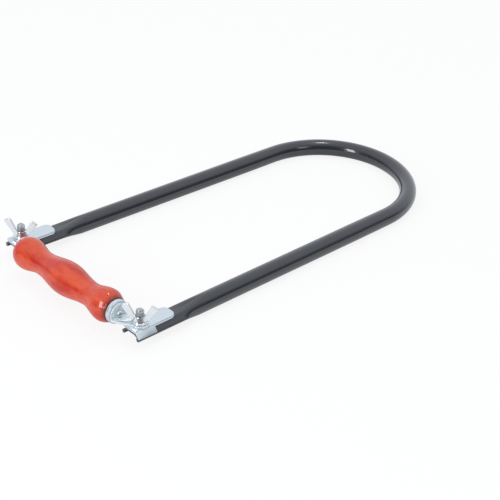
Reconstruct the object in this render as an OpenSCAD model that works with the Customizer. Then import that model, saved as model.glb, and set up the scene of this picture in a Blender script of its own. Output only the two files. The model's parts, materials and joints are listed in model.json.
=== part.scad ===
// Hand fret saw lying flat, with its handle swung in between the arms for storage.
// X runs along the arms from the clamps to the bend, Y from the handle's arm to the other arm, Z up.
// The origin is the middle of the saw's footprint, on the surface that the tube lies on.

/* [Frame tube] */
// Outside diameter of the tube
tube_d = 13.5; // [11:0.1:15]
// Wall of the tube
tube_wall = 0.8; // [0.6:0.05:1]
// Radius of the bend, to the middle of the tube
bend_r = 65; // [55:1:75]
// Radius that the tube loses in the bend, where bending draws it thinner
bend_draw = 0.1; // [0.1:0.05:0.3]
// Distance from the line of the clamp bolts to the centre of the bend
arm_l = 240; // [150:5:320]
// Distance between the two clamp bolts, with the frame relaxed
bolt_spacing = 142; // [136:1:160]

/* [Pressed tube ends] */
// Reach of the pressed end past the bolt
press_front = 8.2; // [7:0.1:10]
// Length of the flat behind the bolt
press_back = 33; // [28:0.5:40]
// Length over which the top of the tube goes from flat back to round
press_run = 26; // [18:1:36]
// Share of that length over which the sides of the tube go back to round
side_run = 0.5; // [0.4:0.05:1]
// Width of the flat top
press_w = 10; // [9:0.1:11]
// Height of the flat top above the middle of the tube
press_top = 4.5; // [3.6:0.1:4.8]
// Distance between the rolled edges, centre to centre
edge_w = 15; // [14:0.1:16]
// Height of the middle of the rolled edges above the middle of the tube
edge_z = 0.4; // [0:0.1:0.8]
// Radius of the rolled edges
edge_r = 1.5; // [1.1:0.05:1.6]

/* [Clamp bolts] */
// Diameter of the bolts
bolt_d = 6; // [5:0.1:6.4]
// Length of the bolts above the flat top of the tube
bolt_l = 14.5; // [13.5:0.1:16]
// Length of the rounded tips of the bolts
tip_l = 2.6; // [1:0.1:4]
// Diameter of the bolt heads
head_d = 9.6; // [9:0.1:9.8]
// Height of the bolt heads
head_h = 2.6; // [2:0.1:3.2]

/* [Clamp jaws] */
// Thickness of the jaw plates
jaw_t = 1; // [0.8:0.1:1.2]
// Width of the jaw plates
jaw_w = 13; // [12.4:0.1:14]
// Reach of the jaws past the bolt
jaw_front = 8.5; // [8:0.1:10]
// Length of the jaws behind the bolt
jaw_back = 26.5; // [20:0.5:32]
// Radius of the jaws' back corners
jaw_corner = 4; // [1:0.1:6]
// Length of the lip on the base jaw, behind the bolt
lip_back = 7.3; // [4:0.1:10]
// Depth of the lip below the top of the base jaw
lip_drop = 3.8; // [2.4:0.1:4]

/* [Wing nuts] */
// Diameter of the nut's base
nut_d = 11.6; // [10:0.1:12.4]
// Height of the nut's hub
hub_h = 5.6; // [4.5:0.1:6.5]
// Diameter of the foot of the hub
hub_d = 9.4; // [9:0.1:9.9]
// Diameter of the top of the hub
hub_top_d = 8; // [7.4:0.1:9]
// Height of the flange round the hub
flange_h = 1.3; // [1:0.1:2]
// Thickness of the wings
wing_t = 2.2; // [1.6:0.1:3]
// Reach of the wings from the bolt
wing_r = 13.1; // [11.5:0.1:13.2]
// Height of the wings above the nut's base
wing_h = 14.5; // [12:0.1:16]
// Width of the top edge of a wing
wing_top_w = 4.8; // [3:0.1:5.5]
// Turn of the wings, seen from above
wing_turn = -53; // [-90:1:90]

/* [Handle bracket] */
// Thickness of the bracket plate
bracket_t = 1.4; // [1:0.1:1.8]
// Diameter of the foot round the bolt
foot_d = 13; // [12:0.1:16]
// Width of the upright
upright_w = 14.6; // [12:0.1:17]
// Room between the wings and the upright
wing_room = 0.75; // [0.5:0.05:1.5]

/* [Handle] */
// Height of the handle's axis above the middle of the tube
grip_z = 10.7; // [10.2:0.1:12]
// Sideways offset of the handle's axis from the bolt
grip_offset = 6.4; // [0:0.1:7]
// Turn of the stowed handle towards the open end of the frame
grip_yaw = 2.4; // [0:0.1:6]
// Diameter of the ferrule
ferrule_d = 17.6; // [17:0.1:19]
// Length of the ferrule
ferrule_l = 3; // [2:0.1:4]
// Sheet of the ferrule
ferrule_t = 0.8; // [0.5:0.1:1]
// Diameter of the wood at its edge round the ferrule
shoulder_d = 19.2; // [18:0.1:21]
// Diameter of the swell next to the ferrule
near_swell_d = 24.3; // [22:0.1:27]
// Diameter of the waists
waist_d = 17.8; // [15:0.1:20]
// Diameter of the middle swell
mid_swell_d = 24.6; // [22:0.1:27]
// Diameter of the end swell
end_swell_d = 24; // [22:0.1:27]
// Distance of the near swell from the ferrule
near_swell_in = 9; // [6:0.1:12]
// Distance of the end swell from the handle's round end
end_swell_in = 12; // [9:0.1:16]
// Distance from an end swell to its waist
waist_step = 17.5; // [14:0.5:22]
// Gap between the handle's end and the lip of the upper clamp
stow_gap = 5.5; // [2:0.1:10]
// Diameter of the handle screw
screw_d = 3.6; // [3:0.1:4]
// Diameter of the screw's head
screw_head_d = 4.8; // [4.4:0.1:5]
// Height of the screw's head
screw_head_h = 1.6; // [1.2:0.1:2]
// Length of the screw in the wood
screw_l = 38; // [25:1:60]

/* [Fits] */
// Radial clearance between a bolt and what turns or slides on it
run_fit = 0.06; // [0.02:0.01:0.1]
// Clearance round the square necks, the handle screw and the tenon
seat_fit = 0.05; // [0.02:0.01:0.1]
// Room between the lip's lower edge and the flank of the tube
lip_room = 0.2; // [0.1:0.05:0.5]

/* [Hidden] */
$fn = 64;
tiny = 0.01;
lap = 0.5;

// Frame: the arms are tangent to the bend and splay a little towards the bolts
tube_r = tube_d / 2;
bore_r = tube_r - tube_wall;
bolt_half = bolt_spacing / 2;
splay = acos(bend_r / norm([arm_l, bolt_half])) - atan2(arm_l, bolt_half);
straight_l = sqrt(arm_l * arm_l + bolt_half * bolt_half - bend_r * bend_r);
web_t = 2 * tube_wall;
web_bottom = press_top - web_t;
round_x = press_back + press_run;
flank_angle = atan2(press_top - edge_z, (edge_w - press_w) / 2);
edge_centre = [edge_w / 2, edge_z];
edge_out = 90 - flank_angle;
edge_in = edge_out - 360 + acos(1 - web_t / edge_r);
under_w = press_w - 2 * web_t * tan(flank_angle / 2);
loft_steps = 16;
edge_steps = 8;
flank_steps = 6;
web_steps = 4;

// Angles round the tube, from its top, where the flat top, the flanks, the rolled edges and the
// inside of the flanks end when it is pressed
top_turn = 40;
flank_turn = 100;
edge_turn = 160;
inside_turn = 170;

// Heights of the clamp stack, from the flat top of the tube
base_jaw_z = press_top;
top_jaw_z = base_jaw_z + jaw_t;
foot_z = top_jaw_z + jaw_t;
nut_z = foot_z + bracket_t;
bolt_top = press_top + bolt_l;
bolt_hole_r = bolt_d / 2 + run_fit;
neck_w = bolt_d;
spacer_d = foot_d;

// Lip of the base jaw: its lower edge stands off the straight flank of the pressed end
lip_z = top_jaw_z - lip_drop;
flank_foot = edge_centre + edge_r * [cos(edge_out), sin(edge_out)];
flank_slope = (flank_foot[0] - press_w / 2) / (press_top - flank_foot[1]);
lip_in = press_w / 2 + flank_slope * (press_top - lip_z) + lip_room;
lip_t = jaw_t / cos(atan2(lip_in + jaw_t - jaw_w / 2, lip_drop));
lip_reach = lip_in + lip_t;

// Handle: distances along its axis, from the bolt
upright_in = wing_r + wing_room;
ferrule_in = upright_in + bracket_t;
grip_in = ferrule_in + ferrule_l;
grip_end = bolt_spacing - lip_reach - stow_gap;
near_swell = grip_in + near_swell_in;
end_swell = grip_end - end_swell_in;
mid_swell = (near_swell + end_swell) / 2;
near_waist = near_swell + waist_step;
end_waist = end_swell - waist_step;
tenon_r = ferrule_d / 2 - ferrule_t - seat_fit;
screw_r = screw_d / 2;
screw_hole_r = screw_r + seat_fit;
screw_end = ferrule_in + screw_l;
curve_steps = 10;

// Footprint of the whole saw, for the origin
function wing_reach(turn) = wing_r * abs(sin(turn)) + wing_t / 2 * abs(cos(turn));
mid_swell_x = -grip_offset * cos(grip_yaw) - mid_swell * sin(grip_yaw) - mid_swell_d / 2;
end_swell_x = -grip_offset * cos(grip_yaw) - end_swell * sin(grip_yaw) - end_swell_d / 2;
low_x = min(mid_swell_x, end_swell_x);
high_x = arm_l + bend_r + tube_r - bend_draw;
low_y = -bolt_half - max(lip_reach, wing_reach(wing_turn + splay));
high_y = bolt_half + max(edge_w / 2 + edge_r, wing_reach(wing_turn - splay));
middle = [(low_x + high_x) / 2, (low_y + high_y) / 2];

// Points of an arc, from angle a0 to a1
function arc(centre, r, a0, a1, steps) =
  [for (i = [0 : steps]) centre + r * [cos(a0 + (a1 - a0) * i / steps), sin(a0 + (a1 - a0) * i / steps)]];

// Rises smoothly from 0 to 1
function ease(t) = (1 - cos(180 * t)) / 2;

// Moves the saw from the line of the bolts to its origin
module on_table() {
  translate([-middle[0], -middle[1], tube_r]) children();
}

// Frame of one clamp: origin on the bolt, X along the arm; side is -1 for the lower arm and 1 for the upper
module on_arm(side) {
  translate([0, side * bolt_half, 0]) rotate(-side * splay) children();
}

// Frame of the stowed handle: origin on the lower bolt, Y along the handle
module on_handle() {
  translate([0, -bolt_half, 0]) rotate(grip_yaw) children();
}

// Axis of the handle, with Z along it
module on_grip_axis() {
  on_handle() translate([-grip_offset, 0, grip_z]) rotate([-90, 0, 0]) children();
}

// Even steps after a, up to b
function steps(a, b, count) = [for (i = [1 : count]) a + (b - a) * i / count];

// Half of the pressed outline, from the middle of the top down round the rolled edge to the middle below
rolled_edge = arc(edge_centre, edge_r, edge_out, edge_in, edge_steps);
web_corner = [press_w / 2, press_top];
under_corner = [under_w / 2, web_bottom];
half_pressed = concat(
  [[0, press_top]],
  steps([0, press_top], web_corner, web_steps),
  steps(web_corner, rolled_edge[0], flank_steps),
  [for (i = [1 : edge_steps]) rolled_edge[i]],
  steps(rolled_edge[edge_steps], under_corner, flank_steps),
  steps(under_corner, [0, web_bottom], web_steps)
);
half_count = len(half_pressed);

// Where the same points lie on the round tube, as angles from its top
half_turns = concat(
  [0],
  steps(0, top_turn, web_steps),
  steps(top_turn, flank_turn, flank_steps),
  steps(flank_turn, edge_turn, edge_steps),
  steps(edge_turn, inside_turn, flank_steps),
  steps(inside_turn, 180, web_steps)
);

// Point of the outline: run goes from 0, pressed, to 1, round, and the sides of the tube are ahead of its
// top; the round outline is a hair inside the straight of the arm
function outline_point(i, run) =
  let (
    turn = half_turns[i],
    mix = ease(min(1, run / (1 - (1 - side_run) * sin(turn))))
  )
  half_pressed[i] * (1 - mix) + (tube_r - tiny) * [sin(turn), cos(turn)] * mix;

// Whole ring of the tube's outline
function ring(x, run) =
  let (half = [for (i = [0 : half_count - 1]) outline_point(i, run)])
  concat(
    [for (p = half) [x, p[0], p[1]]],
    [for (i = [half_count - 2 : -1 : 1]) [x, -half[i][0], half[i][1]]]
  );

// Triangles that close a ring, each between its top and its underside, on one half and then the other
ring_count = 2 * half_count - 2;
half_cap = [
  for (i = [0 : floor((half_count - 3) / 2)])
  let (top = [i, i + 1], under = [half_count - 1 - i, half_count - 2 - i])
  for (t = [[top[0], top[1], under[0]], [top[1], under[1], under[0]]])
  if (t[0] != t[1]) t
];
cap = concat(
  half_cap,
  [for (t = half_cap) [for (i = [2, 1, 0]) (ring_count - t[i]) % ring_count]]
);

// Tube's end: a flat stretch, then a run back to the round tube
module pressed_end() {
  rings = concat(
    [ring(-press_front, 0)],
    [for (i = [0 : loft_steps]) ring(press_back + press_run * i / loft_steps, i / loft_steps)],
    [ring(round_x + lap, 1)]
  );
  last = len(rings) - 1;
  points = [for (r = rings) for (p = r) p];
  sides = [
    for (k = [0 : last - 1])
    for (i = [0 : ring_count - 1])
    let (a = k * ring_count + i, b = k * ring_count + (i + 1) % ring_count)
    for (t = [[a, b + ring_count, a + ring_count], [a, b, b + ring_count]]) t
  ];
  near_cap = [for (t = cap) [t[2], t[1], t[0]]];
  far_cap = [for (t = cap) t + last * [ring_count, ring_count, ring_count]];
  polyhedron(points, concat(sides, near_cap, far_cap), convexity = 6);
}

// Round bar along the straight of an arm, from x0 into the bend
module arm_bar(r, x0) {
  translate([x0, 0, 0]) rotate([0, 90, 0]) cylinder(r = r, h = straight_l + lap - x0);
}

// Round bar along the bend, drawn thinner than the arms
module bend_bar(r) {
  translate([arm_l, 0, 0])
    rotate(-90 + splay)
      rotate_extrude(angle = 180 - 2 * splay)
        translate([bend_r, 0]) circle(r = r - bend_draw);
}

// Thin round passage from point a to point b
module passage(a, b, r) {
  way = b - a;
  translate(a)
    rotate([0, acos(way[2] / norm(way)), atan2(way[1], way[0])])
      cylinder(r = r, h = norm(way), $fn = 16);
}

// Bore of the tube: it narrows where the ends are pressed, and runs out through their rolled edges
module bore() {
  cone_l = press_run / 3;
  for (side = [-1, 1]) on_arm(side) {
    arm_bar(bore_r, round_x);
    translate([round_x - cone_l, 0, 0])
      rotate([0, 90, 0])
        cylinder(r1 = bore_r / 3, r2 = bore_r - tiny, h = cone_l + lap);
    for (edge = [-1, 1]) {
      knee = [press_back, edge * edge_w / 2, edge_z];
      passage([-press_front - lap, knee[1], knee[2]], knee + [lap, 0, 0], edge_r / 2);
      passage(knee, [round_x, edge * bore_r / 2, 0], edge_r / 2.5);
    }
  }
  bend_bar(bore_r);
}

module frame_bow() {
  color("#26272b") on_table() difference() {
    union() {
      bend_bar(tube_r);
      for (side = [-1, 1]) {
        on_arm(side) arm_bar(tube_r, round_x);
        on_arm(side) pressed_end();
      }
    }
    bore();
    for (side = [-1, 1]) on_arm(side) {
      cube([neck_w + 2 * seat_fit, neck_w + 2 * seat_fit, 2 * tube_d], center = true);
      translate([0, 0, web_bottom - tube_d]) cylinder(d = head_d + 2 * seat_fit, h = tube_d);
    }
  }
}

// Mushroom-head bolt, from the head under the flat to the rounded tip
module clamp_bolt(side) {
  rim = head_h / 3;
  color("#c9ced6") on_table() on_arm(side) {
    rotate_extrude() polygon(concat(
      [[0, web_bottom - head_h]],
      [for (i = [0 : curve_steps])
        [head_d / 2 * sin(90 * i / curve_steps),
         web_bottom - rim - (head_h - rim) * cos(90 * i / curve_steps)]],
      [[head_d / 2, web_bottom], [bolt_d / 2, web_bottom], [bolt_d / 2, bolt_top - tip_l]],
      [for (i = [1 : curve_steps])
        [bolt_d / 2 * cos(90 * i / curve_steps), bolt_top - tip_l + tip_l * sin(90 * i / curve_steps)]]
    ));
    translate([-neck_w / 2, -neck_w / 2, web_bottom]) cube([neck_w, neck_w, web_t]);
  }
}

// Outline of a jaw: square at the open end of the frame, with round corners at the other
module jaw_outline() {
  inner_w = jaw_w - 2 * jaw_corner;
  translate([-jaw_front, -jaw_w / 2]) square([jaw_front + jaw_back - jaw_corner, jaw_w]);
  translate([-jaw_front, -inner_w / 2]) square([jaw_front + jaw_back, inner_w]);
  for (y = [-inner_w / 2, inner_w / 2]) translate([jaw_back - jaw_corner, y]) circle(r = jaw_corner);
}

module jaw_plate(z) {
  translate([0, 0, z]) difference() {
    linear_extrude(jaw_t) jaw_outline();
    translate([0, 0, -tiny]) cylinder(r = bolt_hole_r, h = jaw_t + 2 * tiny);
  }
}

// Plate on the pressed end, with a lip turned down over one rolled edge
module base_jaw(side) {
  lip_top = jaw_w / 2 - lip_t + (lip_reach - jaw_w / 2) * jaw_t / lip_drop;
  color("#d5dae2") on_table() on_arm(side) {
    jaw_plate(base_jaw_z);
    translate([-jaw_front, 0, top_jaw_z])
      rotate([90, 0, 90])
        linear_extrude(jaw_front + lip_back)
          polygon([
            [-lip_top, -jaw_t],
            [-jaw_w / 2 + lip_t, 0],
            [-jaw_w / 2, 0],
            [-lip_reach, -lip_drop],
            [-lip_in, -lip_drop]
          ]);
  }
}

// Plate that presses the blade's end on the base jaw
module top_jaw(side) {
  color("#d5dae2") on_table() on_arm(side) jaw_plate(top_jaw_z);
}

// Tapered hub on a round flange, and two flat wings that lean outwards
module wing_nut(side) {
  hub_foot = flange_h + (nut_d - hub_d) / 4;
  outline = [
    [bolt_hole_r + tiny, flange_h],
    [nut_d / 2 - tiny, flange_h],
    [wing_r, wing_h - wing_top_w / 2],
    [wing_r - wing_top_w, wing_h],
    [hub_top_d / 2, hub_h]
  ];
  color("#d9dde4") on_table() on_arm(side) translate([0, 0, nut_z]) difference() {
    union() {
      rotate_extrude() polygon([
        [0, 0],
        [nut_d / 2, 0],
        [nut_d / 2, flange_h],
        [hub_d / 2, hub_foot],
        [hub_top_d / 2, hub_h],
        [0, hub_h]
      ]);
      for (turn = [wing_turn, wing_turn + 180])
        rotate(turn) translate([0, wing_t / 2, 0]) rotate([90, 0, 0]) linear_extrude(wing_t) polygon(outline);
    }
    translate([0, 0, -tiny]) cylinder(r = bolt_hole_r, h = hub_h + 2 * tiny);
  }
}

// Plain washer as thick as the bracket's foot
module upper_spacer() {
  color("#d9dde4") on_table() on_arm(1) translate([0, 0, foot_z]) difference() {
    cylinder(d = spacer_d, h = bracket_t);
    translate([0, 0, -tiny]) cylinder(r = bolt_hole_r, h = bracket_t + 2 * tiny);
  }
}

// Angle bracket: a foot round the bolt, bent up into an upright behind the ferrule
module handle_bracket() {
  bend_in = bracket_t / 4;
  bend_out = bend_in + bracket_t;
  bend_centre = [ferrule_in - bend_out, foot_z + bend_out];
  upright_top = grip_z + upright_w / 2;
  section = concat(
    [[-foot_d, foot_z]],
    arc(bend_centre, bend_out, -90, 0, curve_steps),
    [[ferrule_in, upright_top], [upright_in, upright_top]],
    arc(bend_centre, bend_in, 0, -90, curve_steps),
    [[-foot_d, nut_z]]
  );
  color("#d9dde4") on_table() on_handle() difference() {
    intersection() {
      translate([-2 * foot_d, 0, 0]) rotate([90, 0, 90]) linear_extrude(4 * foot_d) polygon(section);
      union() {
        linear_extrude(nut_z) {
          circle(d = foot_d);
          polygon([
            [-foot_d / 2, 0],
            [foot_d / 2, 0],
            [upright_w / 2 - grip_offset, upright_in],
            [-upright_w / 2 - grip_offset, upright_in]
          ]);
        }
        translate([-grip_offset, ferrule_in, 0]) rotate([90, 0, 0]) linear_extrude(bend_out) {
          translate([0, grip_z]) circle(d = upright_w);
          translate([-upright_w / 2, foot_z]) square([upright_w, grip_z - foot_z]);
        }
      }
    }
    cylinder(r = bolt_hole_r, h = 4 * nut_z, center = true);
    translate([-grip_offset, 0, grip_z]) rotate([-90, 0, 0]) cylinder(r = screw_hole_r, h = 2 * ferrule_in);
  }
}

// Shallow cap on the handle's end
module handle_ferrule() {
  bevel = ferrule_t / 2;
  outer_r = ferrule_d / 2;
  color("#d9dde4") on_table() on_grip_axis() translate([0, 0, ferrule_in]) rotate_extrude() polygon([
    [screw_hole_r, 0],
    [outer_r - bevel, 0],
    [outer_r, bevel],
    [outer_r, ferrule_l],
    [outer_r - ferrule_t, ferrule_l],
    [outer_r - ferrule_t, ferrule_t],
    [screw_hole_r, ferrule_t]
  ]);
}

// Pan-head screw that holds the bracket and the ferrule to the wood
module handle_screw() {
  point = screw_d;
  slot_w = screw_head_h / 2;
  color("#b9bec6") on_table() on_grip_axis() difference() {
    rotate_extrude() polygon(concat(
      [[0, upright_in - screw_head_h]],
      [for (i = [0 : curve_steps])
        [screw_head_d / 4 + screw_head_d / 4 * sin(90 * i / curve_steps),
         upright_in - screw_head_h / 3 - screw_head_h * 2 / 3 * cos(90 * i / curve_steps)]],
      [[screw_head_d / 2, upright_in], [screw_r, upright_in], [screw_r, screw_end - point], [0, screw_end]]
    ));
    translate([-screw_head_d, -slot_w / 2, upright_in - screw_head_h - tiny])
      cube([2 * screw_head_d, slot_w, screw_head_h / 2]);
  }
}

// Turned wooden handle: a tenon in the ferrule, three swells and two waists
function swell(z0, d0, z1, d1) =
  [for (i = [1 : curve_steps])
    [(d0 + (d1 - d0) * ease(i / curve_steps)) / 2, z0 + (z1 - z0) * i / curve_steps]];

module handle_grip() {
  tenon_in = ferrule_in + ferrule_t;
  profile = concat(
    [[0, tenon_in], [tenon_r, tenon_in], [tenon_r, grip_in]],
    [for (i = [0 : curve_steps])
      [(shoulder_d + (near_swell_d - shoulder_d) * sin(90 * i / curve_steps)) / 2,
       grip_in + near_swell_in * i / curve_steps]],
    swell(near_swell, near_swell_d, near_waist, waist_d),
    swell(near_waist, waist_d, mid_swell, mid_swell_d),
    swell(mid_swell, mid_swell_d, end_waist, waist_d),
    swell(end_waist, waist_d, end_swell, end_swell_d),
    [for (i = [1 : curve_steps])
      [end_swell_d / 2 * cos(90 * i / curve_steps), end_swell + end_swell_in * sin(90 * i / curve_steps)]]
  );
  color("#d8492f") on_table() on_grip_axis() difference() {
    rotate_extrude() polygon(profile);
    translate([0, 0, ferrule_in]) cylinder(r = screw_hole_r, h = screw_l + seat_fit);
  }
}

frame_bow();
clamp_bolt(-1);  // lower_clamp_bolt
base_jaw(-1);  // lower_base_jaw
top_jaw(-1);  // lower_top_jaw
wing_nut(-1);  // lower_wing_nut
clamp_bolt(1);  // upper_clamp_bolt
base_jaw(1);  // upper_base_jaw
top_jaw(1);  // upper_top_jaw
upper_spacer();
wing_nut(1);  // upper_wing_nut
handle_bracket();
handle_ferrule();
handle_screw();
handle_grip();
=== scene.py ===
import json
from math import acos, atan2, ceil, cos, degrees, hypot, pi, radians, sin, tan

import bmesh
import bpy
from mathutils import Matrix, Quaternion, Vector


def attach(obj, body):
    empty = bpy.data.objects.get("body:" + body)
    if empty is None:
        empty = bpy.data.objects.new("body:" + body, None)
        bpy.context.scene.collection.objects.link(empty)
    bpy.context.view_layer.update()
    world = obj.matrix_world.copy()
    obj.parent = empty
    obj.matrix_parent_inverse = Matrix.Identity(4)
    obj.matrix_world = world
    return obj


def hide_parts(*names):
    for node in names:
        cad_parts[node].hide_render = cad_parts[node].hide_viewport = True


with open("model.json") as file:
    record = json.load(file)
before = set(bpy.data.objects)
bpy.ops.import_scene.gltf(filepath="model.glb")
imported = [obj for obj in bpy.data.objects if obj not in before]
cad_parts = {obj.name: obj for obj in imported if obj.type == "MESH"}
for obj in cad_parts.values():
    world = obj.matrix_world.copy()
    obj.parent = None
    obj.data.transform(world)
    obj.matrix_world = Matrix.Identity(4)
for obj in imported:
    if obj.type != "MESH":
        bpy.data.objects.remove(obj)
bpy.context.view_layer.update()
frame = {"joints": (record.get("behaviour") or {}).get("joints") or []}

# Frame tube
# One length of steel tube, bent to a U. Both ends are pressed to an upside-down channel
# with rolled edges, and the whole tube is stove-enamelled in gloss black.
tube_r = 6.75
bend_r = 65.0
bend_draw = 0.15
arm_l = 240.0
press_front = 8.2
press_back = 33.0
press_run = 26.0
press_w = 10.0
press_top = 4.5
web_t = 1.6
edge_w = 15.0
edge_z = 0.4
edge_r = 1.5
side_run = 0.5
side_lead = 4.5
web_round = 2.4
under_round = 1.0
web_bottom = press_top - web_t
ring_steps = 144
edge_steps = 24
flat_steps = 3
slope_steps = 30
straight_steps = 6
bend_steps = 72
weld = 0.003

scene = bpy.context.scene
joints = {joint["name"]: joint for joint in frame["joints"]}
lower_bolt = Vector(joints["lower_wing_spin"]["pos_m"]) * 1000
upper_bolt = Vector(joints["upper_wing_spin"]["pos_m"]) * 1000
bolt_half = (upper_bolt.y - lower_bolt.y) / 2
between_bolts = (lower_bolt + upper_bolt) / 2
splay = acos(bend_r / hypot(arm_l, bolt_half)) - atan2(arm_l, bolt_half)
straight_l = (arm_l ** 2 + bolt_half ** 2 - bend_r ** 2) ** 0.5
arm_places = {
    "lower": Matrix.Translation(lower_bolt) @ Matrix.Rotation(splay, 4, "Z"),
    "upper": Matrix.Translation(upper_bolt) @ Matrix.Rotation(-splay, 4, "Z"),
}


def colour(code):
    """An sRGB hex colour as linear RGBA."""
    channels = [int(code[i:i + 2], 16) / 255 for i in (1, 3, 5)]
    return [c / 12.92 if c <= 0.04045 else ((c + 0.055) / 1.055) ** 2.4 for c in channels] + [1.0]


def add(tree, kind, inputs, **settings):
    """Adds a node with its settings, and links or sets its inputs."""
    made = tree.nodes.new(kind)
    for name, value in settings.items():
        setattr(made, name, value)
    for name, value in inputs.items():
        if isinstance(value, bpy.types.NodeSocket):
            tree.links.new(value, made.inputs[name])
        else:
            made.inputs[name].default_value = value
    return made


def new_material(name):
    """An empty node material, with its output."""
    material = bpy.data.materials.new(name)
    material.use_nodes = True
    material.node_tree.nodes.clear()
    output = material.node_tree.nodes.new("ShaderNodeOutputMaterial")
    return material, material.node_tree, output


def per_mm(size):
    """The scale of a noise whose features are this many millimetres, on coordinates in metres."""
    return 1000 / size


def rounded(corners, step=9):
    """Outline points from corners of (x, y, radius), with an arc at each corner that has a radius."""
    points = []
    for i, (x, y, r) in enumerate(corners):
        here = Vector((x, y))
        if r == 0:
            points.append(here)
            continue
        back = (Vector(corners[i - 1][:2]) - here).normalized()
        ahead = (Vector(corners[(i + 1) % len(corners)][:2]) - here).normalized()
        half = back.angle(ahead) / 2
        centre = here + (back + ahead).normalized() * r / sin(half)
        start = here + back * r / tan(half) - centre
        sweep = (pi - 2 * half) * (1 if back.cross(ahead) < 0 else -1)
        parts = max(2, ceil(degrees(abs(sweep)) / step))
        points += [centre + Matrix.Rotation(sweep * k / parts, 2) @ start for k in range(parts + 1)]
    return points


def settle(bm, name, place, body, node, material, sharp=35):
    """Gives a mesh made in millimetres its place in the frame, its finish and its body."""
    bmesh.ops.remove_doubles(bm, verts=bm.verts, dist=weld)
    bmesh.ops.recalc_face_normals(bm, faces=bm.faces)
    bmesh.ops.transform(bm, matrix=Matrix.Scale(0.001, 4) @ place, verts=bm.verts)
    mesh = bpy.data.meshes.new(name)
    bm.to_mesh(mesh)
    bm.free()
    mesh.shade_smooth()
    mesh.set_sharp_from_angle(angle=radians(sharp))
    mesh.materials.append(material)
    piece = bpy.data.objects.new(name, mesh)
    scene.collection.objects.link(piece)
    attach(piece, body)
    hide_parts(node)
    return piece


def edges_of(geom):
    """The edges among what an operator made."""
    return [item for item in geom if isinstance(item, bmesh.types.BMEdge)]


def verts_of(geom):
    """The vertices among what an operator made."""
    return [item for item in geom if isinstance(item, bmesh.types.BMVert)]


def ease(t):
    """Rises smoothly from 0 to 1."""
    return (1 - cos(pi * max(0, min(1, t)))) / 2


# Half of the pressed outline, from the middle of its top, round the rolled edge, to the middle below
flank = atan2(press_top - edge_z, (edge_w - press_w) / 2)
under_w = press_w - 2 * web_t * tan(flank / 2)
edge_start = pi / 2 - flank
edge_sweep = 2 * pi - acos(1 - web_t / edge_r)
edge_arc = [edge_start - edge_sweep * k / edge_steps for k in range(edge_steps + 1)]
edge_points = [Vector((edge_w / 2 + edge_r * cos(a), edge_z + edge_r * sin(a))) for a in edge_arc]
web_corner = rounded([(0, press_top, 0), (press_w / 2, press_top, web_round), (*edge_points[0], 0)])[:-1]
under_corner = rounded([
    (*edge_points[-1], 0), (under_w / 2, web_bottom, under_round), (0, web_bottom, 0)])[1:]
half_outline = web_corner + edge_points + under_corner
run = [0.0]
for a, b in zip(half_outline, half_outline[1:]):
    run.append(run[-1] + (b - a).length)

# Angles round the tube, from its top, that become the ends of the top, the flank, the rolled edge, the
# inside of the flank and the underside
edge_first = len(web_corner)
edge_last = edge_first + len(edge_points) - 1
turns = [0, 40, 100, 160, 170, 180]
marks = [run[i] for i in (0, edge_first // 2, edge_first, edge_last, edge_last + len(under_corner) // 2, -1)]


def pressed(turn):
    """Point of the pressed half outline that lies at this angle from the top of the round tube."""
    part = next((i for i in range(4) if turn <= turns[i + 1]), 4)
    share = (turn - turns[part]) / (turns[part + 1] - turns[part])
    along = marks[part] + (marks[part + 1] - marks[part]) * share
    k = next((i for i in range(len(run) - 1) if along <= run[i + 1]), len(run) - 2)
    return half_outline[k].lerp(half_outline[k + 1], (along - run[k]) / (run[k + 1] - run[k]))


def bow_tube():
    """The round bent tube, swept by extrusion and spin, with its ends then pressed."""
    bm = bmesh.new()
    bmesh.ops.create_circle(bm, cap_ends=False, segments=ring_steps, radius=tube_r)
    bmesh.ops.rotate(bm, matrix=Matrix.Rotation(pi / 2, 3, "Y"), verts=bm.verts)
    bmesh.ops.translate(bm, vec=(-press_front, 0, 0), verts=bm.verts)
    arm = Matrix.Translation((0, -bolt_half, 0)) @ Matrix.Rotation(splay, 4, "Z")
    bmesh.ops.transform(bm, matrix=arm, verts=bm.verts)
    flat_l = press_back - side_lead
    slope_l = press_run + side_lead
    rest_l = straight_l - flat_l - slope_l
    stations = [-press_front] + [flat_l * k / flat_steps for k in range(flat_steps + 1)]
    for length, steps in ((slope_l, slope_steps), (rest_l, straight_steps)):
        stations += [stations[-1] + length * (k + 1) / steps for k in range(steps)]
    ring = list(bm.edges)
    first = ring
    for side, places in ((-1, stations), (1, stations[::-1])):
        way = Vector((cos(splay), -side * sin(splay), 0))
        for a, b in zip(places, places[1:]):
            made = bmesh.ops.extrude_edge_only(bm, edges=ring)["geom"]
            verts = verts_of(made)
            ring = [e for e in edges_of(made) if all(v in verts for v in e.verts)]
            bmesh.ops.translate(bm, vec=way * (b - a), verts=verts)
        if side == -1:
            verts = list({v for e in ring for v in e.verts})
            bend = bmesh.ops.spin(
                bm, geom=ring + verts, cent=(arm_l, 0, 0), axis=(0, 0, 1),
                angle=pi - 2 * splay, steps=bend_steps, use_merge=False)
            ring = edges_of(bend["geom_last"])
    for end in (first, ring):
        bmesh.ops.edgeloop_fill(bm, edges=end)
    press_ends(bm)
    return bm


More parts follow.
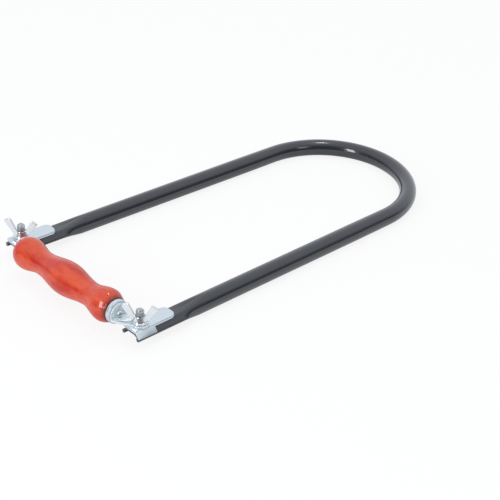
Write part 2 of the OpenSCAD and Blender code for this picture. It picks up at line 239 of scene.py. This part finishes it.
def press_ends(bm):
    """Moves the tube's points to the channel at both ends, and draws the bend a little thinner."""
    for v in bm.verts:
        if v.co.x > arm_l:
            out = Vector((v.co.x - arm_l, v.co.y, 0)).normalized() * bend_r
            middle = Vector((arm_l, 0, 0)) + out
            v.co = middle + (v.co - middle) * (1 - bend_draw / tube_r)
        side = -1 if v.co.y < 0 else 1
        arm = Matrix.Translation((0, side * bolt_half, 0)) @ Matrix.Rotation(-side * splay, 4, "Z")
        local = arm.inverted() @ v.co
        if local.x >= press_back + press_run:
            continue
        turn = 90 - degrees(atan2(local.z, abs(local.y)))
        sideways = sin(radians(turn))
        start = press_back - side_lead * sideways
        stop = press_back + press_run * (1 - (1 - side_run) * sideways)
        share = ease((local.x - start) / (stop - start))
        point = pressed(turn)
        hand = 1 if local.y >= 0 else -1
        target = Vector((local.x, hand * point.x, point.y))
        v.co = arm @ target.lerp(local, share)


# Stove enamel is a smooth dark film with a faint orange peel: broad soft lights and a few crisp spots
enamel, tree, output = new_material("black_stove_enamel_gloss")
where = add(tree, "ShaderNodeTexCoord", {}).outputs["Object"]
cloud = add(tree, "ShaderNodeTexNoise", {"Vector": where, "Scale": per_mm(40), "Detail": 3.0})
tint = add(tree, "ShaderNodeMix", {
    "Factor": cloud.outputs["Fac"], "A": colour("#20232a"), "B": colour("#292c35")}, data_type="RGBA")
film = add(tree, "ShaderNodeTexNoise", {"Vector": where, "Scale": per_mm(7), "Detail": 4.0})
gloss = add(tree, "ShaderNodeMapRange", {
    "Value": film.outputs["Fac"], "From Min": 0.3, "From Max": 0.7, "To Min": 0.18, "To Max": 0.26})
peel = add(tree, "ShaderNodeTexNoise", {"Vector": where, "Scale": per_mm(1.6), "Detail": 1.0})
bump = add(tree, "ShaderNodeBump", {"Height": peel.outputs["Fac"], "Strength": 0.02, "Distance": 0.00003})
shader = add(tree, "ShaderNodeBsdfPrincipled", {
    "Base Color": tint.outputs["Result"], "Roughness": gloss.outputs["Result"], "IOR": 1.5,
    "Coat Weight": 0.75, "Coat Roughness": 0.05, "Normal": bump.outputs["Normal"]})
tree.links.new(shader.outputs["BSDF"], output.inputs["Surface"])

settle(bow_tube(), "bow_tube", Matrix.Translation(between_bolts), "frame", "frame_bow",
       enamel, sharp=50)

# Clamp bolts
# Zinc-plated M6 bolts with a low round head and a square neck that keeps them from turning.
# They stand up through the pressed ends, cold-headed and with rolled threads.
bolt_r = 3.0
bolt_top = 19.0
head_r = 4.8
head_h = 2.6
head_round = 1.6
head_break = 0.3
tip_l = 2.6
tip_start = bolt_top - tip_l
tip_steps = 12
thread_pitch = 1.0
thread_root = 2.45
thread_sink = 0.4
thread_crest = bolt_r - 0.05
crest_half = 0.07
thread_from = press_top + 0.6
thread_to = tip_start + 1.3
thread_steps = 32


def quarter(steps, first=0):
    """Angles of a quarter turn, from step first to the last one."""
    return [pi / 2 * k / steps for k in range(first, steps + 1)]


def turned(bm, outline, steps=64, closed=False):
    """Spins an outline of (radius, height) points all the way round Z."""
    verts = [bm.verts.new((x, 0, z)) for x, z in outline]
    ends = verts[1:] + verts[:1] if closed else verts[1:]
    edges = [bm.edges.new(pair) for pair in zip(verts, ends)]
    bmesh.ops.spin(bm, geom=verts + edges, cent=(0, 0, 0), axis=(0, 0, 1), angle=2 * pi,
                   steps=steps, use_merge=True)


def clamp_bolt():
    """Head, neck, core and a helical thread that fades out at the tip."""
    bm = bmesh.new()
    tip = [Vector((thread_root * cos(a), tip_start + tip_l * sin(a))) for a in quarter(tip_steps)]
    turned(bm, rounded([
        (0, web_bottom - head_h, 0), (head_r, web_bottom - head_h, head_round),
        (head_r, web_bottom, head_break), (thread_root, web_bottom, 0)]) + tip)
    neck = bmesh.ops.create_cube(bm, size=1)["verts"]
    bmesh.ops.scale(bm, vec=(2 * bolt_r, 2 * bolt_r, web_t), verts=neck)
    bmesh.ops.translate(bm, vec=(0, 0, press_top - web_t / 2), verts=neck)
    section = [
        (thread_root - thread_sink, -thread_pitch / 2), (thread_crest, -crest_half),
        (thread_crest, crest_half), (thread_root - thread_sink, thread_pitch / 2)]
    start = [bm.verts.new((x, 0, thread_from + z)) for x, z in section]
    loop = [bm.edges.new(pair) for pair in zip(start, start[1:] + start[:1])]
    steps = int((thread_to - thread_from) / thread_pitch * thread_steps)
    thread = bmesh.ops.spin(
        bm, geom=start + loop, cent=(0, 0, 0), axis=(0, 0, 1), dvec=(0, 0, thread_pitch / thread_steps),
        angle=2 * pi * steps / thread_steps, steps=steps, use_merge=False)
    for end in (loop, edges_of(thread["geom_last"])):
        bmesh.ops.edgeloop_fill(bm, edges=end)
    for v in bm.verts:
        rise = max(0, v.co.z - tip_start) / tip_l
        most = thread_crest * max(0, 1 - rise ** 2) ** 0.5
        reach = hypot(v.co.x, v.co.y)
        if rise > 0 and reach > most:
            v.co.x, v.co.y = v.co.x * most / reach, v.co.y * most / reach
    return bm


def plated(name, dark, light, smooth, rough):
    """Plated steel: a thin silvery film with faint clouds and fine press marks under it."""
    material, tree, output = new_material(name)
    where = add(tree, "ShaderNodeTexCoord", {}).outputs["Object"]
    cloud = add(tree, "ShaderNodeTexNoise", {"Vector": where, "Scale": per_mm(5), "Detail": 4.0})
    tint = add(tree, "ShaderNodeMix", {
        "Factor": cloud.outputs["Fac"], "A": colour(dark), "B": colour(light)}, data_type="RGBA")
    gloss = add(tree, "ShaderNodeMapRange", {
        "Value": cloud.outputs["Fac"], "From Min": 0.3, "From Max": 0.7, "To Min": smooth, "To Max": rough})
    scuffs = add(tree, "ShaderNodeTexNoise", {"Vector": where, "Scale": per_mm(0.8), "Detail": 1.0})
    bump = add(tree, "ShaderNodeBump", {
        "Height": scuffs.outputs["Fac"], "Strength": 0.015, "Distance": 0.00002})
    shader = add(tree, "ShaderNodeBsdfPrincipled", {
        "Base Color": tint.outputs["Result"], "Metallic": 1.0, "Roughness": gloss.outputs["Result"],
        "Normal": bump.outputs["Normal"]})
    tree.links.new(shader.outputs["BSDF"], output.inputs["Surface"])
    return material


# Threads lose most of their plate when they are rolled and used, so the studs look like dull grey steel
stud_steel = plated("worn_zinc_on_rolled_thread", "#a0a6a9", "#c2c7c9", 0.34, 0.46)

for arm, place in arm_places.items():
    settle(clamp_bolt(), arm + "_clamp_stud", place, "frame", arm + "_clamp_bolt",
           stud_steel)

# Base jaws
# Plates blanked from steel sheet, bent and zinc-plated, that lie on the pressed ends. A lip turned
# down over one rolled edge keeps each of them in line with the arm.
jaw_t = 1.0
jaw_w = 13.0
jaw_front = 8.5
jaw_back = 26.5
jaw_corner = 4.0
front_corner = 0.6
lip_back = 7.3
lip_drop = 3.8
lip_flare = 3.14
lip_bend = 1.05
lip_corner = 0.7
lip_steps = 6
bolt_gap = 0.06
hole_r = bolt_r + bolt_gap
base_jaw_z = press_top


def circle(x, y, r, steps=40):
    """Outline points of a circle."""
    return [Vector((x + r * cos(2 * pi * k / steps), y + r * sin(2 * pi * k / steps))) for k in range(steps)]


def sheet_face(bm, outline, hole, z):
    """A flat sheet with one hole, at height z; returns the vertices of its outline."""
    loops = []
    edges = []
    for points in (outline, hole):
        verts = [bm.verts.new((*p, z)) for p in points]
        edges += [bm.edges.new(pair) for pair in zip(verts, verts[1:] + verts[:1])]
        loops.append(verts)
    bmesh.ops.triangle_fill(bm, use_beauty=True, edges=edges)
    return loops[0]


def plate(piece, thickness, edge=0.3):
    """Gives a sheet its thickness, behind its outer face, and breaks its edges."""
    wall = piece.modifiers.new("thickness", "SOLIDIFY")
    wall.thickness = thickness / 1000
    wall.offset = -1
    wall.use_even_offset = True
    soft = piece.modifiers.new("broken_edges", "BEVEL")
    soft.width = edge / 1000
    soft.segments = 3
    soft.limit_method = "ANGLE"
    soft.angle_limit = radians(40)


def face_out(bm, way):
    """Turns an open sheet so that its largest flat faces along way."""
    bmesh.ops.remove_doubles(bm, verts=bm.verts, dist=weld)
    bmesh.ops.recalc_face_normals(bm, faces=bm.faces)
    bm.normal_update()
    if max(bm.faces, key=lambda f: f.calc_area()).normal.dot(Vector(way)) < 0:
        bmesh.ops.reverse_faces(bm, faces=bm.faces)


def base_jaw():
    """Outer face of the plate and its lip."""
    bm = bmesh.new()
    slope = atan2(lip_drop, lip_flare)
    inset = lip_bend * tan(slope / 2)
    half = jaw_w / 2
    top = base_jaw_z + jaw_t
    outline = rounded([
        (-jaw_front, -half + inset, 0), (lip_back, -half + inset, 0), (lip_back, -half, 0),
        (jaw_back, -half, jaw_corner), (jaw_back, half, jaw_corner), (-jaw_front, half, front_corner)])
    verts = sheet_face(bm, outline, circle(0, 0, hole_r), top)
    root = bm.edges.get(verts[:2])
    bend = bmesh.ops.spin(
        bm, geom=verts[:2] + [root], cent=(0, -half + inset, top - lip_bend), axis=(1, 0, 0),
        angle=slope, steps=lip_steps, use_merge=False)
    lip = bmesh.ops.extrude_edge_only(bm, edges=edges_of(bend["geom_last"]))
    ends = verts_of(lip["geom"])
    length = (lip_drop - lip_bend * (1 - cos(slope))) / sin(slope)
    bmesh.ops.translate(bm, vec=(0, -length * cos(slope), -length * sin(slope)), verts=ends)
    bmesh.ops.bevel(bm, geom=ends, offset=lip_corner, segments=4, profile=0.5, affect="VERTICES", material=-1)
    face_out(bm, (0, 0, 1))
    return bm


# Sheet parts have a cool blue-passivated plate: pale, satin, and bluer than the nuts
zinc = plated("blue_zinc_plate_on_sheet", "#cfdadf", "#dce5e9", 0.32, 0.42)

for arm, place in arm_places.items():
    piece = settle(base_jaw(), arm + "_base_plate", place, "frame", arm + "_base_jaw",
                   zinc)
    plate(piece, jaw_t)

# Top jaws
# Flat plates, blanked and zinc-plated like the base jaws and a little narrower. They lie loose on the
# bolts, and the wing nuts press them down on the blade's ends.
top_jaw_z = base_jaw_z + jaw_t
top_jaw_w = 12.0


def top_jaw():
    """Upper face of the plate."""
    bm = bmesh.new()
    half = top_jaw_w / 2
    outline = rounded([
        (-jaw_front, -half, front_corner), (jaw_back, -half, jaw_corner),
        (jaw_back, half, jaw_corner), (-jaw_front, half, front_corner)])
    sheet_face(bm, outline, circle(0, 0, hole_r), top_jaw_z + jaw_t)
    face_out(bm, (0, 0, 1))
    return bm


for arm, place in arm_places.items():
    piece = settle(top_jaw(), arm + "_top_plate", place, arm + "_jaw", arm + "_top_jaw",
                   zinc)
    plate(piece, jaw_t)

# Upper spacer
# A plain washer, punched from steel sheet and zinc-plated. It lies loose under the far wing nut and
# is as thick as the bracket's foot under the near one.
bracket_t = 1.4
foot_d = 13.0
foot_z = top_jaw_z + jaw_t
washer_round = 0.4
washer_break = 0.15
bore_break = 0.3

bm = bmesh.new()
turned(bm, rounded([
    (hole_r, foot_z, washer_break), (foot_d / 2, foot_z, washer_break),
    (foot_d / 2, foot_z + bracket_t, washer_round), (hole_r, foot_z + bracket_t, bore_break)],
    step=15), closed=True)
settle(bm, "upper_washer", arm_places["upper"], "upper_jaw", "upper_spacer", zinc)

# Handle bracket
# An angle bent from steel sheet and zinc-plated. Its foot turns on the lower bolt, under the wing nut,
# and its upright is screwed to the handle's end.
grip_z = 10.7
grip_offset = 6.4
grip_yaw = radians(2.4)
upright_w = 14.6
upright_in = 13.85
ferrule_in = upright_in + bracket_t
bracket_bend = 1.75
screw_hole_r = 1.85
foot_steps = 24
fold_steps = 8
crown_steps = 28
handle_place = Matrix.Translation(lower_bolt) @ Matrix.Rotation(grip_yaw, 4, "Z")

bm = bmesh.new()
bend_y = ferrule_in - bracket_bend
bend_z = foot_z + bracket_bend
sides = (-grip_offset - upright_w / 2, -grip_offset + upright_w / 2)
foot_arc = [pi + pi * k / foot_steps for k in range(foot_steps + 1)]
outline = [Vector((sides[1], bend_y)), Vector((sides[0], bend_y))]
outline += [Vector((foot_d / 2 * cos(a), foot_d / 2 * sin(a))) for a in foot_arc]
verts = sheet_face(bm, outline, circle(0, 0, hole_r), foot_z)
fold = bmesh.ops.spin(
    bm, geom=verts[:2] + [bm.edges.get(verts[:2])], cent=(0, bend_y, bend_z), axis=(1, 0, 0),
    angle=pi / 2, steps=fold_steps, use_merge=False)
root = sorted(verts_of(fold["geom_last"]), key=lambda v: v.co.x)
crown_arc = [pi * k / crown_steps for k in range(crown_steps + 1)]
crown = [bm.verts.new((-grip_offset + upright_w / 2 * cos(a), ferrule_in, grip_z + upright_w / 2 * sin(a)))
         for a in crown_arc]
rim = root + crown
hole = [bm.verts.new((p.x, ferrule_in, p.y)) for p in circle(-grip_offset, grip_z, screw_hole_r, steps=24)]
edges = [bm.edges.get(pair) or bm.edges.new(pair) for pair in zip(rim, rim[1:] + rim[:1])]
edges += [bm.edges.new(pair) for pair in zip(hole, hole[1:] + hole[:1])]
bmesh.ops.triangle_fill(bm, use_beauty=True, edges=edges)
face_out(bm, (0, 1, -1))

# The angle is left matt from the mill, so it looks softer than the plates; its colour is painted paler than
# theirs, as painted light standing in for the bright light that falls on its upright
angle_zinc_painted_paler = plated("matt_zinc_painted_paler_on_angle", "#e0e8ec", "#ebf1f4", 0.5, 0.6)

piece = settle(bm, "handle_angle", handle_place, "handle", "handle_bracket", angle_zinc_painted_paler)
plate(piece, bracket_t)

# Handle ferrule
# A shallow cap, drawn from steel sheet and zinc-plated. It covers the turned tenon on the handle's near
# end, and the screw holds it.
ferrule_r = 8.8
ferrule_l = 3.0
ferrule_t = 0.8
ferrule_round = 0.7
ferrule_fold = 0.2
ferrule_break = 0.1
tenon_in = ferrule_in + ferrule_t
grip_in = ferrule_in + ferrule_l
grip_axis = Matrix.Translation((-grip_offset, 0, grip_z)) @ Matrix.Rotation(-pi / 2, 4, "X")
grip_place = handle_place @ grip_axis

bm = bmesh.new()
turned(bm, rounded([
    (screw_hole_r, ferrule_in, ferrule_break), (ferrule_r, ferrule_in, ferrule_round),
    (ferrule_r, grip_in, ferrule_fold), (ferrule_r - ferrule_t, grip_in, ferrule_break),
    (ferrule_r - ferrule_t, tenon_in, ferrule_fold), (screw_hole_r, tenon_in, ferrule_break)],
    step=15), steps=96, closed=True)
settle(bm, "handle_cap", grip_place, "handle", "handle_ferrule", zinc)

# Handle grip
# Beech, turned on a lathe to three swells and two waists, stained red and dipped in clear lacquer. Its
# tenon sits in the ferrule, and the screw holds it to the bracket.
grip_end = 126.85
shoulder_r = 9.6
shoulder_round = 1.6
# Length of wood beside the ferrule that is darkened as painted shade
ferrule_shade_l = 4.5
near_swell_r = 12.15
waist_r = 8.9
mid_swell_r = 12.28
end_swell_r = 11.98
near_swell_in = 9.0
end_swell_in = 12.0
waist_step = 17.5
tenon_gap = 0.05
tenon_r = ferrule_r - ferrule_t - tenon_gap
shoulder_end = grip_in + shoulder_round
near_swell = grip_in + near_swell_in
end_swell = grip_end - end_swell_in
mid_swell = (near_swell + end_swell) / 2
round_steps = 6
rise_steps = 16
swell_steps = 24

outline = [Vector((0, tenon_in)), Vector((tenon_r, tenon_in)), Vector((tenon_r, grip_in))]
outline += [Vector((shoulder_r - shoulder_round * (1 - sin(a)), shoulder_end - shoulder_round * cos(a)))
            for a in quarter(round_steps)]
outline += [Vector((shoulder_r + (near_swell_r - shoulder_r) * sin(a),
                    shoulder_end + (near_swell - shoulder_end) * a / (pi / 2)))
            for a in quarter(rise_steps, 1)]
stops = [(near_swell, near_swell_r), (near_swell + waist_step, waist_r), (mid_swell, mid_swell_r),
         (end_swell - waist_step, waist_r), (end_swell, end_swell_r)]
for (z0, r0), (z1, r1) in zip(stops, stops[1:]):
    shares = [k / swell_steps for k in range(1, swell_steps + 1)]
    outline += [Vector((r0 + (r1 - r0) * ease(t), z0 + (z1 - z0) * t)) for t in shares]
outline += [Vector((end_swell_r * cos(a), end_swell + end_swell_in * sin(a)))
            for a in quarter(swell_steps, 1)]
bm = bmesh.new()
turned(bm, outline, steps=112)

# Stained beech under lacquer: fine short flecks along the grain, soft blotches where the stain took more,
# a dark red-brown beside the ferrule that is painted shade for the crease where the wood meets the cap,
# and a clear film that mirrors the lights
beech, tree, output = new_material("red_stained_beech_lacquered")
where = add(tree, "ShaderNodeTexCoord", {}).outputs["Object"]
grain_way = add(tree, "ShaderNodeMapping", {"Vector": where, "Rotation": (0, 0, -grip_yaw)}).outputs["Vector"]
fibre_way = add(tree, "ShaderNodeMapping", {"Vector": grain_way, "Scale": (1.0, 0.14, 1.0)}).outputs["Vector"]
patch_way = add(tree, "ShaderNodeMapping", {"Vector": grain_way, "Scale": (1.0, 0.45, 1.0)}).outputs["Vector"]
blotch = add(tree, "ShaderNodeTexNoise", {
    "Vector": patch_way, "Scale": per_mm(12), "Detail": 3.0, "Roughness": 0.55})
fleck = add(tree, "ShaderNodeTexNoise", {
    "Vector": fibre_way, "Scale": per_mm(1.1), "Detail": 2.0, "Roughness": 0.6})
stain = add(tree, "ShaderNodeMapRange", {
    "Value": blotch.outputs["Fac"], "From Min": 0.4, "From Max": 0.62, "To Min": 0.0, "To Max": 1.0})
base = add(tree, "ShaderNodeMix", {
    "Factor": stain.outputs["Result"], "A": colour("#db5330"), "B": colour("#c42916")}, data_type="RGBA")
dash = add(tree, "ShaderNodeMapRange", {
    "Value": fleck.outputs["Fac"], "From Min": 0.58, "From Max": 0.75, "To Min": 0.0, "To Max": 0.45})
tint = add(tree, "ShaderNodeMix", {
    "Factor": dash.outputs["Result"], "A": base.outputs["Result"], "B": colour("#9c1f10")}, data_type="RGBA")
# Painted shade: dark red-brown on the wood next to the ferrule, standing in for the shade in the crease at
# the cap
shoulder_at = (Matrix.Rotation(-grip_yaw, 3, "Z") @ lower_bolt).y + grip_in
along = add(tree, "ShaderNodeSeparateXYZ", {"Vector": grain_way}).outputs["Y"]
ferrule_shade = add(tree, "ShaderNodeMapRange", {
    "Value": along, "From Min": shoulder_at / 1000, "From Max": (shoulder_at + ferrule_shade_l) / 1000,
    "To Min": 0.95, "To Max": 0.0}, interpolation_type="SMOOTHSTEP")
tint = add(tree, "ShaderNodeMix", {
    "Factor": ferrule_shade.outputs["Result"], "A": tint.outputs["Result"], "B": colour("#640e07")}, data_type="RGBA")
flow = add(tree, "ShaderNodeTexNoise", {"Vector": where, "Scale": per_mm(6), "Detail": 1.0})
bump = add(tree, "ShaderNodeBump", {"Height": flow.outputs["Fac"], "Strength": 0.05, "Distance": 0.0002})
shader = add(tree, "ShaderNodeBsdfPrincipled", {
    "Base Color": tint.outputs["Result"], "Roughness": 0.5, "Specular IOR Level": 0.1, "Coat Weight": 0.8,
    "Coat Roughness": 0.08, "Normal": bump.outputs["Normal"], "Coat Normal": bump.outputs["Normal"]})
tree.links.new(shader.outputs["BSDF"], output.inputs["Surface"])

settle(bm, "turned_grip", grip_place, "handle", "handle_grip", beech)

# Handle screw
# A slotted pan-head wood screw, turned from steel and zinc-plated. It goes through the bracket and the
# ferrule, into the grip's end grain.
screw_r = 1.8
screw_head_r = 2.4
screw_head_h = 1.6
screw_head_round = 1.2
screw_head_break = 0.1
screw_l = 38.0
screw_point_l = 4.0
slot_half = 0.4
slot_depth = 0.8
rim_h = 0.3
dome_lean = 0.2

bm = bmesh.new()
head_top = upright_in - screw_head_h
turned(bm, rounded([
    (0, head_top, 0), (screw_head_r, head_top, screw_head_round),
    (screw_head_r, upright_in, screw_head_break), (screw_r, upright_in, 0),
    (screw_r, ferrule_in + screw_l - screw_point_l, 0), (0, ferrule_in + screw_l, 0)]))
bmesh.ops.remove_doubles(bm, verts=bm.verts, dist=weld)

# The slot is the strip of the head's dome between two cuts, sunk into the head
for y in (-slot_half, slot_half):
    everything = bm.verts[:] + bm.edges[:] + bm.faces[:]
    bmesh.ops.bisect_plane(bm, geom=everything, plane_co=(0, y, 0), plane_no=(0, 1, 0))
bmesh.ops.recalc_face_normals(bm, faces=bm.faces)
strip = []
for face in bm.faces:
    middle = face.calc_center_median()
    if abs(middle.y) < slot_half and middle.z < upright_in - rim_h and face.normal.z < -dome_lean:
        strip.append(face)
sunk = bmesh.ops.extrude_face_region(bm, geom=strip)
bmesh.ops.delete(bm, geom=strip, context="FACES")
bmesh.ops.translate(bm, vec=(0, 0, slot_depth), verts=verts_of(sunk["geom"]))
settle(bm, "handle_wood_screw", grip_place, "handle", "handle_screw", zinc)

# Wing nuts
# Steel, hot-pressed and zinc-plated: a low hub on a round base, with two flat wings that lean outwards.
# They are screwed down on the bolts by hand.
nut_z = foot_z + bracket_t
nut_r = 5.8
nut_bore = 3.12
flange_h = 1.3
hub_h = 5.6
hub_r = 5.0
hub_top_r = 3.65
wing_t = 2.2
wing_r = 13.1
wing_h = 14.48
wing_top_w = 4.8
wing_round = 1.0
wing_root = nut_bore + 0.3
wing_foot = nut_r - 0.4
wing_neck = hub_h - 0.2
wing_turn = radians(-53)
base_chamfer = 0.6
base_break = 0.1
hub_break = 0.3
hub_neck = 0.4
grain = 0.2


def wing_nut():
    """Hub and wings as closed shells, which the remesh then joins."""
    bm = bmesh.new()
    turned(bm, rounded([
        (nut_bore, 0, hub_break), (nut_r - base_chamfer, 0, 0), (nut_r, base_chamfer, base_break),
        (nut_r, flange_h, hub_break), (hub_r, flange_h + (nut_r - hub_r) / 2, hub_neck),
        (hub_top_r, hub_h, hub_break), (nut_bore, hub_h, hub_break)], step=15), closed=True)
    outline = rounded([
        (wing_root, flange_h, 0), (wing_foot, flange_h, 0), (wing_r, wing_h - wing_top_w / 2, wing_round),
        (wing_r - wing_top_w, wing_h, wing_round), (hub_top_r, wing_neck, 0), (wing_root, wing_neck, 0)])
    for turn in (wing_turn, wing_turn + pi):
        verts = [bm.verts.new((p.x, -wing_t / 2, p.y)) for p in outline]
        face = bm.faces.new(verts)
        wing = bmesh.ops.extrude_face_region(bm, geom=[face], use_keep_orig=True)
        far = verts_of(wing["geom"])
        bmesh.ops.translate(bm, vec=(0, wing_t, 0), verts=far)
        bmesh.ops.rotate(bm, matrix=Matrix.Rotation(turn, 3, "Z"), verts=verts + far)
    return bm


# The nuts are plated brighter: nearly white where they are flat, with sharp reflections on the hub
bright_zinc = plated("bright_zinc_plate_on_forging", "#dfe5e8", "#ebeff1", 0.1, 0.2)

for arm, place in arm_places.items():
    nut_place = place @ Matrix.Translation((0, 0, nut_z))
    piece = settle(wing_nut(), arm + "_wing_nut_forged", nut_place, arm + "_wing", arm + "_wing_nut",
                   bright_zinc)
    joined = piece.modifiers.new("joined", "REMESH")
    joined.mode = "VOXEL"
    joined.voxel_size = grain / 1000
    joined.use_smooth_shade = True
    worn = piece.modifiers.new("soft_edges", "SMOOTH")
    worn.factor = 0.5
    worn.iterations = 4

# Floor
# A sweep of matt white paper that fills the view. It bounces light up to the saw and keeps a faint
# soft shadow under it.
floor_half = 6.0
view_white = 0.86
mirror_white = 0.2

bm = bmesh.new()
bmesh.ops.create_grid(bm, x_segments=1, y_segments=1, size=floor_half)
mesh = bpy.data.meshes.new("floor")
bm.to_mesh(mesh)
bm.free()
floor = bpy.data.objects.new("floor", mesh)
scene.collection.objects.link(floor)

# Matt paper, burnt out to nearly white where it is seen and a little brighter where it is mirrored
paper, tree, output = new_material("white_paper_sweep")
path = add(tree, "ShaderNodeLightPath", {}).outputs
mirrored = add(tree, "ShaderNodeMath", {
    0: path["Is Glossy Ray"], 1: path["Is Transmission Ray"]}, operation="MAXIMUM")
mirrored = add(tree, "ShaderNodeMath", {0: mirrored.outputs[0], 1: mirror_white}, operation="MULTIPLY")
seen = add(tree, "ShaderNodeMath", {0: path["Is Camera Ray"], 1: view_white}, operation="MULTIPLY")
share = add(tree, "ShaderNodeMath", {0: seen.outputs[0], 1: mirrored.outputs[0]}, operation="MAXIMUM")
matt = add(tree, "ShaderNodeBsdfDiffuse", {"Color": colour("#f6f6f6")})
white = add(tree, "ShaderNodeEmission", {"Color": colour("#ffffff"), "Strength": 1.0})
mixed = add(tree, "ShaderNodeMixShader", {"Fac": share.outputs[0], 1: matt.outputs[0], 2: white.outputs[0]})
tree.links.new(mixed.outputs[0], output.inputs["Surface"])
mesh.materials.append(paper)

# Studio light
# A white tent, bright overhead and behind the saw and dim towards the viewer, with a tall softbox at
# the left, a weaker one in front and a small lamp overhead for the crisp spots.
tent_bright = 1.0
tent_dim = 0.16
tent_axis = (0.385, 0.4255, 0.819)
dim_up_to = 0.05
bright_from = 0.52

world = bpy.data.worlds.new("studio_tent")
scene.world = world
world.use_nodes = True
tree = world.node_tree
ray = add(tree, "ShaderNodeTexCoord", {}).outputs["Generated"]
height = add(tree, "ShaderNodeVectorMath", {0: ray, 1: tent_axis}, operation="DOT_PRODUCT")
level = add(tree, "ShaderNodeMapRange", {
    "Value": height.outputs["Value"], "From Min": dim_up_to, "From Max": bright_from,
    "To Min": tent_dim, "To Max": tent_bright}, interpolation_type="SMOOTHSTEP")
room = tree.nodes["Background"]
room.inputs["Color"].default_value = colour("#f4f8ff")
tree.links.new(level.outputs["Result"], room.inputs["Strength"])


def softbox(name, width, depth, radiance, place):
    """A rectangular lamp of that radiance, with its sizes in metres, facing the middle of the saw."""
    lamp = bpy.data.lights.new(name, "AREA")
    lamp.shape = "RECTANGLE"
    lamp.size = width
    lamp.size_y = depth
    lamp.energy = radiance * pi * width * depth
    box = bpy.data.objects.new(name, lamp)
    scene.collection.objects.link(box)
    box.location = place
    box.rotation_mode = "QUATERNION"
    box.rotation_quaternion = (-Vector(place)).to_track_quat("-Z", "Y")


softbox("left_softbox", 0.28, 0.8, 10.0, (-1.2, -0.2, 0.58))
softbox("front_softbox", 0.35, 0.35, 3.0, (0.03, -1.25, 0.82))
softbox("overhead_lamp", 0.14, 0.14, 16.0, (0.28, 0.07, 1.2))

# Camera
# A long lens, a little over a metre away, that looks down on the clamps and along the arms, as the saw
# is photographed.
view_yaw = radians(42.12)
view_pitch = radians(31.42)
view_roll = radians(2.08)
view_distance = 1.114
focal_length = 108.94
sensor_w = 36.0
aim_point = (between_bolts + Vector((127.3, -37.6, 0.3))) / 1000

way = Vector((sin(view_yaw) * cos(view_pitch), cos(view_yaw) * cos(view_pitch), -sin(view_pitch)))
lens = bpy.data.cameras.new("camera")
lens.sensor_width = sensor_w
lens.lens = focal_length
lens.clip_start = 0.05
lens.clip_end = 50.0
camera = bpy.data.objects.new("camera", lens)
scene.collection.objects.link(camera)
camera.location = aim_point - way * view_distance
camera.rotation_mode = "QUATERNION"
camera.rotation_quaternion = way.to_track_quat("-Z", "Y") @ Quaternion((0, 0, 1), view_roll)
scene.camera = camera
scene.view_settings.view_transform = "Standard"
